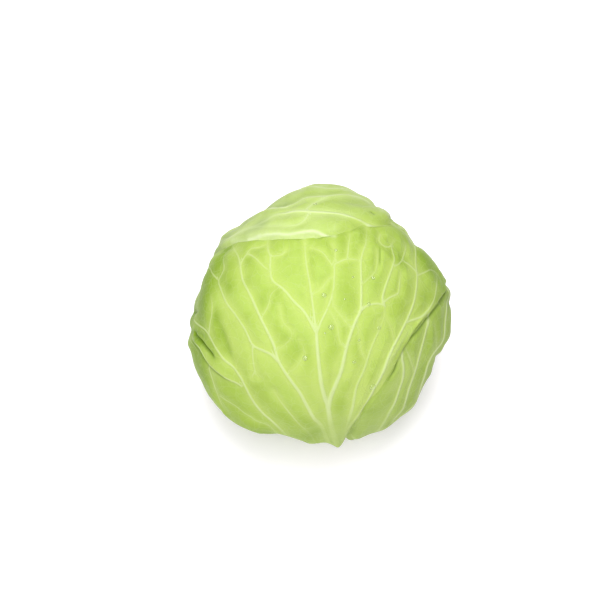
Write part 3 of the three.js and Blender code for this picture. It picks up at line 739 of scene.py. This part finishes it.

# Folds and creases along pixels of the photograph. A fold is a ridge, or a groove where its rise is less than 0,
# and one with a step stands up on the left of its line (1) or on the right (-1). Sizes are in millimetres, and ends
# over which shares of it the fold fades. Pale is how strongly a paler line is painted along it, partly the leaf's own
# paler rim and partly painted highlight on a crest, and dark is how strongly painted shade lies along a crease or the
# outline.
folds = {
    "leaf_top": [
        dict(line=[(243, 239.5), (249, 238.4), (255, 237.4), (263.9, 235.4), (274.6, 234.6), (287, 234.4),
         (294.3, 233.8), (305, 232.5), (313.9, 231.8), (318.4, 232.8), (322.9, 234), (331.8, 236), (338, 237)],
         rise=0.9, spread=2.2, pale=1, width=1, ends=(0.3, 0.06)),
        dict(line=[(244, 238.8), (250, 237.6), (256, 236.4), (263, 235.2)], pale=1, width=1.6),
        dict(line=[(240, 238), (262, 236), (285, 235), (305, 234), (325, 235)], pale=0.4, width=4),
        dict(line=[(256, 215), (265, 212.2), (279.8, 209.4), (292, 206), (301, 201.6), (308.4, 199.4), (322.7, 198.6),
         (333, 197.6), (350, 197.4), (359, 199)], rise=1.4, spread=0.9, step=-1, reach=6, pale=0.75, width=1,
         ends=(0.3, 0.15)),
        dict(line=[(256, 212.5), (265, 209.6), (279.8, 206.6), (292, 203), (301, 198.6), (308.4, 196.4),
         (322.7, 195.4), (333, 194.6), (348, 194.4)], rise=-0.2, spread=1.6, dark=0.4, width=1.5, ends=(0.2, 0.15)),
        dict(line=[(303, 188.5), (312.4, 188), (322.7, 189.7), (333, 190), (343, 190)], rise=0.9, spread=0.9, step=-1,
         reach=5, pale=0.5, width=0.9),
        dict(line=[(368.5, 212.3), (371.5, 213.8), (375.5, 215.8)], rise=-1.2, spread=1, dark=1, width=0.9,
         ends=(0.3, 0.3)),
        dict(line=[(230, 240.5), (238, 240), (247, 239)], pale=0.5, width=2.4),
        dict(line=[(366, 222.2), (372, 224), (379, 225), (386.3, 226.4)], rise=0.4, spread=1, pale=1, width=1.3),
    ],
    "leaf_front": [
        dict(line=[(195.5, 332.5), (199.3, 338), (203, 342.6), (207, 347.5), (211, 352), (214.6, 356.3), (218, 361)],
         rise=-2.6, spread=1.3, dark=1.2, width=1.2, ends=(0.04, 0.25)),
        dict(line=[(194, 338.5), (198.3, 347.8), (204, 357), (210, 365.5), (216, 371), (224, 376), (234, 381)],
         rise=-0.4, spread=1.2, dark=0.6, width=1),
        dict(line=[(195, 340), (198, 347), (200.5, 352.5)], rise=-0.4, spread=0.8, dark=0.7, width=0.8),
        dict(line=[(193.5, 313.8), (197, 311.8), (200.8, 311)], rise=-1, spread=1, dark=0.9, width=0.8,
         ends=(0.1, 0.5)),
        dict(line=[(192, 333), (197, 331.5), (202, 334), (206, 339)], rise=-0.5, spread=1, dark=0.35, width=1.2),
        dict(line=[(195, 338), (199.5, 345), (203.4, 351.6), (208, 359), (212, 364.6), (220.7, 372), (226, 375.8),
         (233, 379.5), (241, 385)], rise=1.7, spread=0.8, step=1, reach=4, pale=0.5, width=0.9),
        dict(line=[(214, 306), (218, 320), (222.5, 331), (227, 343), (231, 356), (234, 362)], rise=-0.8, spread=2.6,
         dark=0.25, width=2, ends=(0.3, 0.2)),
        dict(line=[(210, 392), (213.7, 396.5), (218, 401.5), (224.9, 411), (232, 418.5), (245, 425), (262, 430),
         (285, 436)], rise=1, spread=0.5, step=1, reach=4, pale=0.3, width=0.8),
        dict(line=[(379, 246), (379.9, 251), (380, 257.6), (379.6, 268)], rise=-0.4, spread=0.7, dark=0.65, width=0.5,
         ends=(0.2, 0.3)),
        dict(line=[(330, 442), (335, 445), (340, 446), (345, 442.5)], dark=1, width=2.6, ends=(0.2, 0.2)),
        dict(line=[(285, 438), (298, 440.5), (312, 443), (325, 442.5), (332, 442.5)], dark=0.5, width=1.5),
        dict(line=[(322, 234.5), (327, 235.6), (332, 236.4), (338, 237)], pale=0.9, width=1),
        dict(line=[(362, 221), (368, 222.8), (374, 224.2), (380, 225.2), (387, 226.6)], pale=0.9, width=1.1),
        dict(line=[(395.5, 225), (401, 229.5), (407, 237.5), (412, 245.5)], pale=0.6, width=2.2),
        dict(line=[(374, 384), (383, 371.5), (391, 357), (399, 344.5), (407, 333), (415, 323)], rise=0.5, spread=2.2,
         pale=0.25, width=2),
    ],
    "leaf_right": [
        dict(line=[(445.6, 286), (441.5, 297), (434, 309.8), (426.5, 318.9), (417.4, 329.7), (409, 339.6),
         (403.3, 349.5), (398.4, 357.8), (395, 368.6), (388.4, 378.5), (382, 387)], rise=-1, spread=1.8, dark=0.85,
         width=0.9, ends=(0.02, 0.12)),
        dict(line=[(442, 292), (441, 297), (438, 303)], rise=-1, spread=3, dark=0.8, width=2.4),
    ],
}
# Bumps and hollows of one leaf: place, height and size in millimetres
lumps = {
    "leaf_top": [(seen(225, 234), 1.1, 4), (seen(219, 251), -1.2, 4), (seen(252, 240), -0.6, 5),
     (seen(266, 239.5), -0.6, 5), (seen(281, 239.5), -0.5, 5), (seen(318, 237.5), -0.5, 5)],
    "leaf_front": [(seen(356, 232), 0.7, 8), (at(2, 12), 1.7, 3.4), (at(-14, 14), 1.5, 6)],
    "leaf_right": [(seen(432, 373), -1, 4)],
}
# Bumps and hollows of the outline, in every layer: pixel, height and size in millimetres
outline = [(250, 216, 2.6, 9), (290, 192, -1.6, 8), (376, 206, -1, 2.2), (383.5, 208.5, 2.8, 5.5),
    (342, 186.5, 1.2, 7), (221, 237, 0.7, 5), (214, 250, 0.1, 6), (207, 392, -1.2, 6), (268, 433, 0.9, 12),
    (404, 231, -0.4, 5), (415, 246.5, -12, 7), (427, 257, -2.4, 7), (439, 271, -1, 5), (445, 283.5, -0.5, 2),
    (447, 348, 0.6, 4), (436, 357, -1.8, 3.2), (404, 412, 3.2, 10), (387, 426.5, 2.2, 6), (308, 184, -0.8, 8),
    (347.5, 439, 3.4, 8), (366, 199, 1.4, 5), (312, 442, 2, 12), (190, 333, 0.5, 12), (197, 302, -2.2, 5),
    (235, 228, -0.9, 4)]
# Crisp bumps and notches where one leaf makes the outline: pixel, height and size in millimetres
nubs = {
    "leaf_top": [(376, 206, -0.6, 1.8), (389.5, 213.5, 1.8, 3.5), (393.3, 222.5, -1.2, 1.8), (220.5, 236, 0.8, 2.5)],
    "leaf_front": [(404, 229, 1.6, 4.5), (415, 247, -2.5, 2.5), (194.5, 312.4, -0.9, 2), (445.4, 281, 0.3, 1.4),
     (444.6, 285, -0.9, 1.5), (190, 321.5, 0.9, 4), (192, 329.5, -0.7, 1.6), (188, 343, 2.2, 4.5)],
    "leaf_back_right": [(415, 247, -8, 2.5)],
    "leaf_right": [(415, 247, -8, 2.5), (346, 438, 1.5, 3), (362, 437, 0.9, 5), (449.5, 291.5, 1.9, 4),
     (449.7, 303.2, -0.8, 2.5), (449, 336, 1.7, 6), (436, 356, -2, 2.4), (430.5, 374, 1.3, 4)],
}
# Where a leaf melts into the one beneath it instead of ending in an edge
melted = {
    "leaf_top": placed([(336, 234.6), (343, 233), (350, 230), (363, 225), (378, 225.5), (391, 223), (398, 220)]),
    "leaf_front": placed([(380, 392), (374, 403), (367, 412), (359, 421), (352, 430), at(24, 12)]),
}
# Where a leaf's edge is pressed flush with the one beneath it
flush = {
    "leaf_top": placed([(207, 270), (211.5, 259.5), (219, 249.5), (227.5, 243), (235.5, 240), (256, 237.4),
     (298, 237.2), (329, 236.2), (341, 234.3)]),
}
# Soft patches of colour, partly the leaf's own darker and paler green and partly painted shade and painted light:
# pixel, size in millimetres, how much darker (or paler, where less than 0)
patches = {
    "leaf_front": [(221, 262, 6, 0.8), (250, 260, 4, 0.4), (247, 281, 4, 0.4), (229, 287, 5, 0.6),
     (222, 278, 7, 0.55), (264, 300, 5, 0.4), (277, 291, 3.5, 0.35), (287, 339, 5, 0.35), (300, 347, 5, 0.35),
     (258, 388, 7, 0.15), (340, 403, 6, 0.35), (337, 413, 5, 0.3), (334, 421, 5, 0.3), (344, 386, 4, 0.2),
     (346, 298, 6, 0.25), (402, 239, 8, 0.35), (362, 234, 6, 0.4), (348, 240, 6, 0.15), (401, 262, 5, 0.6),
     (425, 262, 8, 0.7), (390, 250, 6, 0.45), (424, 298, 6, 0.35), (441, 283, 7, 0.6), (216, 318, 5, 0.5),
     (221, 335, 5, 0.6), (226, 349, 4, 0.4), (199, 285, 10, 1.15), (195, 308, 10, 1.1), (203, 300, 9, 0.9),
     (209, 275, 9, 1), (201, 322, 8, 0.6), (205, 264, 8, 0.9), (196, 342, 9, 0.5), (201, 364, 9, 0.8),
     (200, 345, 7, 0.4), (206, 380, 7, 0.45), (232, 385, 8, 0.4), (375, 280, 9, 0.25), (208, 290, 8, 0.6),
     (204, 312, 7, 0.6), (206, 336, 4.5, 0.6), (212, 345, 4.5, 0.6), (216, 354, 4, 0.5), (228, 250, 6, 1.1),
     (236, 258, 7, 0.3), (397, 247, 6, 0.25), (400, 258, 5, 0.3), (393, 236, 5, 0.2), (432, 272, 7, 0.6),
     (437, 300, 6, 0.5), (418, 255, 5, 0.4), (308, 422, 7, 0.4), (318, 428, 5, 0.5), (338, 441, 5, 1),
     (241, 404, 6, 0.3), (309, 432, 7, 0.6), (285, 415, 9, 0.25), (350, 421, 5, 0.2), (352, 398, 7, -0.4),
     (380, 397, 7, -0.5), (339, 443, 5, 1), (300, 440, 8, 0.4), (265, 430, 8, 0.6), (300, 320, 7, -0.3),
     (227, 321, 5, -0.5), (232, 335, 6, -0.7), (237, 350, 6, -0.5), (222, 309, 4, -0.3), (322, 300, 9, -0.2),
     (322, 345, 6, -0.35), (330, 416, 8, -0.35), (322, 404, 6, -0.35), (290, 270, 9, -0.15), (350, 270, 7, -0.2),
     (372, 320, 7, -0.25), (300, 375, 10, -0.7), (340, 368, 9, -0.7), (382, 352, 8, -0.5), (264, 368, 9, -0.5),
     (362, 388, 8, -0.9), (320, 388, 8, -0.7), (385, 380, 6, -0.6), (352, 370, 9, -0.4), (372, 400, 6, -0.6),
     (252, 345, 9, -0.5), (245, 364, 8, -0.4), (272, 345, 7, -0.4)],
    "leaf_top": [(219, 247, 7, 1.3), (228, 239, 5, 0.9), (214, 254, 6, 0.8), (238, 229, 6, 1.1), (249, 221, 6, 1),
     (260, 213, 6, 0.8), (272, 202, 6, 0.95), (285, 205, 6, 0.8), (256, 228, 7, 0.4), (246, 233, 6, 0.4),
     (263, 223, 6, 0.8), (300, 192, 5, 0.3), (352, 206, 8, 0.3), (385, 215, 7, -0.6), (290, 216, 8, -0.2),
     (270, 224, 8, -0.15), (320, 218, 8, -0.35), (346, 228, 6, -0.5)],
    "leaf_right": [(398, 372, 5, 0.15), (409, 350, 5, 0.4), (432, 336, 6, 0.45), (434, 318, 5, 0.3),
     (424, 368, 5, 0.35), (412, 395, 5, 0.15), (382, 416, 8, -0.7), (404, 375, 8, -0.5), (446, 300, 6, 0.8),
     (356, 433, 5, 0.8), (370, 429, 5, 0.5), (387, 423, 5, 0.5), (440, 320, 6, 0.4), (392, 388, 6, -0.6),
     (405, 402, 7, 0.2), (424, 376, 6, 0.4), (446, 330, 5, 0.2)],
}


def leafExtras(name, d):
    # extra height where a leaf folds, its colours there (painted shade in creases, and pale lines that are partly
    # painted highlight), and how far it melts into or sinks onto its neighbour
    p = d.reshape(-1, 3) * headRadius
    height, pale, dark, merge, sunk = np.zeros((5, len(p)))
    for fold in folds.get(name, []):
        apart, place, side = nearestOn(traced(fold["line"]), p)
        start, end = fold.get("ends", (0.15, 0.15))
        shown = smoothstep(place, 0, start) * (1 - smoothstep(place, 1 - end, 1))
        if "rise" in fold:
            profile = spot(apart, fold["spread"])
            if "step" in fold:
                raised = 0.5 * (1 + np.tanh(apart * side * fold["step"] / fold["spread"]))
                profile = raised * spot(apart, fold["reach"])
            height += fold["rise"] * profile * shown
        line = spot(apart, fold["width"]) * shown
        pale = np.maximum(pale, fold.get("pale", 0) * line)
        dark = np.maximum(dark, fold.get("dark", 0) * line)
    for place, rise, size in lumps.get(name, []):
        height += rise * spot(norm(p - place * headRadius, axis=1), size)
    for x, y, rise, size in nubs.get(name, []):
        height += rise * outlineSpot(p / headRadius, x, y, size)
    if name in melted:
        apart, place, side = nearestOn(traced(melted[name]), p)
        merge = smoothstep(apart, *form["melts"]) * smoothstep(place, 0, form["meltStart"])
    if name in flush:
        sunk = smoothstep(nearestOn(traced(flush[name]), p)[0], *form["sinks"])
    return [a.reshape(d.shape[:-1]) for a in (height, pale, dark, merge, sunk)]


def outlineSpot(d, x, y, size):
    # 1 where the outline passes a pixel and less away from it, along and across the outline
    middle = seen(x, y)[[0, 2]]
    apart = norm(d[..., [0, 2]] - middle / norm(middle), axis=-1) * headRadius
    return np.exp(-(apart / size) ** 2 - (d[..., 1] / form["outlineDepth"]) ** 2)


def patchTones(name, d):
    # painted shade and painted light, together with the leaf's own darker and paler green
    darker, paler = np.zeros((2, *d.shape[:-1]))
    for x, y, size, amount in patches.get(name, []):
        patch = spot(norm(d - seen(x, y), axis=-1) * headRadius, size)
        darker += max(amount, 0) * patch
        paler += max(-amount, 0) * patch
    return darker, paler


def leafSheet(leaf, seed):
    # a sheet with two sides, the directions of its points, and where they are across, along and in from the margin
    columns, rows = leaf["cells"]
    piece = newPiece("dressed_" + leaf["node"], bpy.ops.mesh.primitive_grid_add, x_subdivisions=columns,
                     y_subdivisions=rows, size=1)
    flat = readPoints(piece).reshape(rows + 1, columns + 1, 3)
    thick = piece.modifiers.new("thickness", "SOLIDIFY")
    thick.thickness = 0.01
    thick.offset = -1
    bpy.ops.object.modifier_apply(modifier=thick.name)

    last = len(leaf["ribs"]) - 1
    rib = (flat[..., 0] + 0.5) * last
    along = np.clip(flat[..., 1] + 0.5, 0, 1)
    d = leafDirection(leaf, np.clip(rib, 0, last).ravel(), along.ravel()).reshape(*rib.shape, 3)
    fromEdge = marginDistance(d)
    sway = smoothstep(fromEdge, form["reach"]["sway"], 0) * smoothstep(along, *form["swayStart"]) * leaf["sway"]
    outward = unit(np.cross(d, np.cross(d, leaf["middle"])))
    d = unit(d + (sway * ripples(d, form["swaySize"], seed + 1) / headRadius)[..., None] * outward)
    return piece, d, rib / last, along, fromEdge


def leafTones(leaf, d, middle, along, fromEdge, apart, opened, pale, dark):
    # the fields of colour, apart from those of the veins; they hold painted shade at the sides and back, and painted
    # shade and painted light from the patches
    darker, paler = patchTones(leaf["node"], d)
    # painted shade: darker towards the outline at the sides and at the back, fading towards the crown
    sides = smoothstep(-d[..., 1], 0.66, 0.08) * smoothstep(d[..., 2], 0.8, 0.4)
    foot = form["footPale"] * spot(along, form["footLength"]) * (0.35 + 0.65 * middle)
    edge = leaf["paleEdge"] * smoothstep(fromEdge, *form["rimWidth"]) * opened
    # the patches' darker green, partly painted shade, together with the painted shade of the sides
    shadeAndDeepGreen = darker + form["shadedSides"] * sides
    return {
        # the halo also takes the paler patches, partly painted light
        "halo": np.clip(spot(apart, form["haloSize"]) + paler, 0, 1),
        "pale": foot * (1 - 0.7 * sides),
        # the paler margin, and the pale fold lines, which are partly painted highlight on crests
        "rim": np.clip(np.maximum(pale, edge), 0, 1),
        "shade": np.clip(shadeAndDeepGreen, 0, 1),
        # painted shade: the dark fold lines in creases and along the outline, and where patches and sides darken past
        # the shade green
        "dark": np.clip(np.maximum(dark, 0.6 * (shadeAndDeepGreen - 1)), 0, 1),
    }


def buildLeaf(order, leaf, ground, covers):
    seed, outermost = 10 * order, len(leaves) - 1
    piece, d, rib, along, fromEdge = leafSheet(leaf, seed)
    reach = form["reach"]
    surfaceSoFar["map"] = softened(ground, 2) + 2
    press = np.zeros(rib.shape)
    for cover in covers:
        press = np.maximum(press, smoothstep(lookUp(cover, d), *form["covered"]))
    free = 1 - (1 - form["showThrough"]) * press

    veinHeight, apart, across, show = veinRelief(leaf["veins"] or ownVeins(leaf, seed), d)
    footFade = leaf["softFoot"] * smoothstep(-d[..., 2], *form["softFoot"])
    veinHeight, show = veinHeight * (1 - 0.5 * footFade), show * (1 - footFade)
    puff = form["puff"] * (1 - spot(apart, form["puffSize"])) * smoothstep(along, *form["puffStart"])
    puff += form["ripple"] * (1 + 0.5 * ripples(d, form["rippleSize"], seed + 2))
    puff *= smoothstep(fromEdge, 0, reach["puff"])
    extra, pale, dark, merge, sunk = leafExtras(leaf["node"], d)
    opened = smoothstep(along, *leaf["open"]) * (1 - merge)
    lip = leaf["lip"] * opened * spot(fromEdge - leaf["lipPlace"], form["lipWidth"])
    lip *= 1 + form["lipWaves"] * ripples(d, form["lipSize"], seed + 3)
    gap = leaf["gap"] * opened
    gap = gap + (head["layerGap"] * 0.5 - gap) * smoothstep(fromEdge, 0.5, reach["gap"])

    loose, tight = [lookUp(softened(widened(ground, size), size), d) for size in form["drape"]]
    inner = tight + (loose - tight) * smoothstep(fromEdge, 0, reach["drape"]) + gap + free * (puff + lip + extra)
    blade = form["tightBlade"] + (head["marginBlade"] - form["tightBlade"]) * opened
    blade = blade + (head["blade"] - blade) * smoothstep(fromEdge, 0, reach["blade"])
    middle = np.clip(1 - (2 * rib - 1) ** 2, 0, 1)
    narrowing = np.where(rib > 0.5, leaf["stalkShape"], usual["stalkShape"])
    stalk = leaf["stalk"] * middle ** narrowing * bell(along, form["stalkLength"])
    inner -= form["meltDepth"] * merge * smoothstep(fromEdge, reach["melt"], 0)
    inner -= form["flushDepth"] * np.maximum(sunk - merge, 0) * smoothstep(fromEdge, reach["flush"], 0)
    outer = inner + blade + free * (veinHeight * smoothstep(fromEdge, 0, reach["vein"]) + stalk)
    room = (head["restHeight"] - form["tableGap"] * (outermost - order)) / np.maximum(d @ down, underside)
    outer = np.minimum(outer, room)
    inner = np.minimum(inner, outer - form["leastBlade"])

    world = toWorld(np.stack([d * outer[..., None], d * inner[..., None]]))
    if order == outermost:
        z, pressed = world[0, ..., 2], head["pressed"] * mm
        world[0, ..., 2] = np.where(z < pressed, np.maximum(0, 2 * z - pressed), z)
    setPoints(piece, world)
    kin = (1 - 0.9 * merge) * (leaf["node"] == "leaf_top")
    tones = leafTones(leaf, d, middle, along, fromEdge, apart, opened, pale, dark)
    giveValues(piece, across=across, near=np.abs(across), show=show, kin=kin, **tones)
    finishPiece(piece, leaf["node"], skins[leaf["slot"]])
    return stamped(ground, d, outer)


def footprint(leaf, count=160, inside=slice(60, 100)):
    # a map of where the leaf lies, 1 within it and less beyond its margin, and the direction of its middle
    rib, along = np.meshgrid(np.linspace(0, len(leaf["ribs"]) - 1, count), np.linspace(0, 1, count))
    d = leafDirection(leaf, rib.ravel(), along.ravel()).reshape(count, count, 3)
    leaf["middle"] = unit(d[inside, inside].reshape(-1, 3).mean(0))
    covered = stamped(np.zeros((mapRows, mapColumns)), d, np.ones((count, count)))
    return softened(widened(covered, 0.8), 3.5)


print("heart and stem")
heart = {
    "across": 128, "up": 96,
    "folds": 3,  # inner leaves that show at the crown
    "step": 2.0, "twist": 0.2,
    "crest": (0.94, 0.06),  # where across a fold it is highest, and how much of it falls away again
    "sunk": 0.4,
    "overStem": (11, 63),  # degrees from the stem, and the radius that leaves room for it
    "veins": (2.6, 1.0), "veinStep": 24,
}
heartTones = dict(deep="adbf72", middle="b8c782", light="c1cd92", vein="cad3a8", rim="cad3a8", foot="c8d0a6",
                  shade="9fb360", dark="8ba04e")


def heartRadius(d):
    turn = np.arctan2(d[..., 0], -d[..., 1]) / (2 * pi) + 0.5 - d[..., 2] * heart["twist"]
    fold = (turn * heart["folds"]) % 1
    top, fall = heart["crest"]
    fold = np.where(fold > top, (1 - fold) / fall * top, fold)
    near = smoothstep(d[..., 2], 0.45, 0.8) * (1 - smoothstep(d[..., 2], 0.97, 1))
    return bodyRadius(d) - heart["step"] * fold * near


ball = newPiece("dressed_heart", bpy.ops.mesh.primitive_uv_sphere_add, segments=heart["across"],
                ring_count=heart["up"], radius=1)
ways = unit(readPoints(ball))
radius = heartRadius(ways) - heart["sunk"]
angle, least = heart["overStem"]
radius = np.where(degreesBetween(-ways[:, 2]) < angle, np.minimum(radius, least), radius)
setPoints(ball, toWorld(ways * radius[:, None]))
heartVeins = [(*heart["veins"], [at(a, 20), at(a + 8, 60), at(a + 18, 100), at(a + 34, 140), at(a + 60, 162)])
              for a in range(0, 360, heart["veinStep"])]
height, apart, across, show = veinRelief(heartVeins, ways)
giveValues(ball, across=across, near=np.abs(across), show=show * 0.7, halo=spot(apart, 6),
           pale=smoothstep(-ways[:, 2], 0.8, 1), rim=0, shade=0, dark=0)
finishPiece(ball, "heart", leafMaterial("heart_skin", heartTones))

stem = {
    "sides": 64, "end": 81.7, "length": 19,
    "girth": ((0, 13.2), (0.04, 14), (0.3, 12.6), (0.7, 13.6), (1, 12.6)),  # radii from the cut face to the head
    "rings": 0.5,  # height of the rings in the cut face
    "pith": (0.62, 0.5), "bark": (0.86, 0.97),
}


def stemMaterial():
    n = Nodes("cut_stem")
    fibre = n.noise(420, 4, 0.6, 0.4)
    stain = n.ramp(n.noise(120, 3, 0.6), 0.42, 0.66)
    base = n.mix(fibre, "d9d6ae", "efecd2")
    base = n.mix(n.times(stain, 0.35), base, "c9bf8e")
    base = n.mix(n.value("pith"), base, "f3f1dc")
    base = n.mix(n.value("bark"), base, "c6d69a")
    return n.finish({"Base Color": base, "Roughness": n.ramp(fibre, 0.3, 0.7, 0.62, 0.8),
                     "Normal": n.bump(fibre, 0.6, 0.0006)})


stalk = newPiece("dressed_stem", bpy.ops.mesh.primitive_cylinder_add, vertices=stem["sides"], radius=1, depth=1,
                 end_fill_type="TRIFAN")
bpy.ops.object.mode_set(mode="EDIT")
bpy.ops.mesh.select_all(action="SELECT")
bpy.ops.mesh.subdivide(number_cuts=9)
bpy.ops.object.mode_set(mode="OBJECT")
x, y, z = readPoints(stalk).T
away, turn, up = np.hypot(x, y), np.arctan2(y, x), z + 0.5
onCut = up < 0.001
girth = np.interp(up, *zip(*stem["girth"]))
girth = away * girth * (1 + 0.035 * np.cos(5 * turn + 0.7) + 0.02 * np.cos(9 * turn))
rings = stem["rings"] * np.cos(away * 7) * (1 - away) + 0.25 * np.cos(3 * turn) * away
rise = up * stem["length"] - stem["end"] + np.where(onCut, rings, 0)
setPoints(stalk, toWorld(np.stack([girth * np.cos(turn), girth * np.sin(turn), rise], axis=-1)))
giveValues(stalk, pith=onCut * smoothstep(away, *stem["pith"]),
           bark=np.where(onCut, smoothstep(away, *stem["bark"]), 0.8))
finishPiece(stalk, "stem", stemMaterial())

print("leaves")
covers = [footprint(leaf) for leaf in leaves]
ground = heartRadius(everyWay) + sum(rise * outlineSpot(everyWay, x, y, size) for x, y, rise, size in outline)
for order, leaf in enumerate(leaves):
    ground = buildLeaf(order, leaf, ground, covers[order + 1:])

print("water drops")
drops = {
    "places": [  # pixel and width in millimetres
        (324, 295, 3.6), (331, 327, 4.2), (305, 358, 4.0), (373, 278, 3.0), (369, 304, 3.0), (379, 328, 2.8),
        (372.5, 387, 5), (354, 362, 2.6), (359, 340, 2.2), (336, 250, 2.6), (315, 204, 2.8), (345, 299, 1.8),
        (325, 333, 1.6), (353, 277, 1.8),
    ],
    "spread": 0.45, "above": 0.24, "below": 0.06,  # half width, height and depth as shares of the width
    "surfaceRadius": 84,
}


def waterMaterial():
    n = Nodes("water")
    tint = n.mix(n.noise(300, 2), "bccf78", "c6da84")
    return n.finish({"Base Color": tint, "Roughness": 0.03, "Specular IOR Level": 1.0, "Coat Weight": 1.0,
                     "Alpha": 0.38})


surface = softened(widened(ground, 0.5), 0.9)
surfaceSoFar["map"] = surface
made = []
for x, y, width in drops["places"]:
    drop = newPiece("drop", bpy.ops.mesh.primitive_uv_sphere_add, segments=32, ring_count=20, radius=1)
    across, up, rise = np.split(readPoints(drop), 3, axis=1)
    out = seen(x, y)
    aside = unit(np.cross(out, [0, 0, 1]))
    spread = (across * aside + up * np.cross(aside, out)) * drops["spread"] * width
    d = unit(out + spread / drops["surfaceRadius"])
    rise = rise * np.where(rise > 0, drops["above"], drops["below"]) * width
    setPoints(drop, toWorld(d * (lookUp(surface, d)[:, None] + rise)))
    made.append(drop)
bpy.ops.object.select_all(action="DESELECT")
for drop in made:
    drop.select_set(True)
bpy.context.view_layer.objects.active = made[0]
bpy.ops.object.join()
water = named(bpy.context.active_object, "water_drops")
finishPiece(water, None, waterMaterial())

print("table, light and camera")
studio = {
    "world": 0.44,
    "lightsAimAt": (0, 0, 0.08),
    "lamps": {  # place, width and power
        "overhead": ((0, 0, 1.5), 0.8, 13),
        "over_camera": ((0, -0.7, 1.3), 0.8, 9.2),
        "behind": ((0, 1.0, 1.2), 0.6, 2.5),
        "behind_left": ((-0.75, 0.8, 1.15), 0.5, 1.6),
        "front_left": ((-0.9, -0.9, 1.0), 0.6, 2.6),
        "front_low": ((-0.5, -1.2, 0.6), 0.6, 0.8),
    },
    "sensor": 36,
}
table = newPiece("table", bpy.ops.mesh.primitive_plane_add, size=8)
n = Nodes("table_top")
white = n.mix(n.noise(6, 3), "f9f4fb", "fcf8ff")
table.data.materials.append(n.finish({
    "Base Color": white, "Roughness": 0.8, "Specular IOR Level": 0.1, "Emission Color": (0.88, 0.85, 1, 1),
    "Emission Strength": 0.15,
}))

world = bpy.data.worlds.new("studio")
world.use_nodes = True
background = world.node_tree.nodes["Background"]
background.inputs[0].default_value = (1, 1, 1, 1)
background.inputs[1].default_value = studio["world"]
bpy.context.scene.world = world

for name, (place, width, power) in studio["lamps"].items():
    lamp = bpy.data.lights.new(name, "AREA")
    lamp.shape = "DISK"
    lamp.size = width
    lamp.energy = power
    light = bpy.data.objects.new(name, lamp)
    bpy.context.collection.objects.link(light)
    light.location = place
    light.rotation_euler = (Vector(studio["lightsAimAt"]) - Vector(place)).to_track_quat("-Z", "Y").to_euler()

pixel, back = picture["mmPerPixel"] * mm, picture["viewDistance"] * mm
left, up = [(place - picture["frame"] / 2) * pixel for place in picture["centre"]]
look = Vector((0, cos(lean), -sin(lean)))
above = Vector((0, sin(lean), cos(lean)))
camera = bpy.data.objects.new("camera", bpy.data.cameras.new("camera"))
bpy.context.collection.objects.link(camera)
camera.location = Vector((-left, 0, head["restHeight"] * mm)) - look * back + above * up
camera.rotation_euler = look.to_track_quat("-Z", "Y").to_euler()
camera.data.sensor_width = studio["sensor"]
camera.data.lens = studio["sensor"] * back / (picture["frame"] * pixel)
bpy.context.scene.camera = camera
bpy.context.scene.view_settings.view_transform = "Standard"
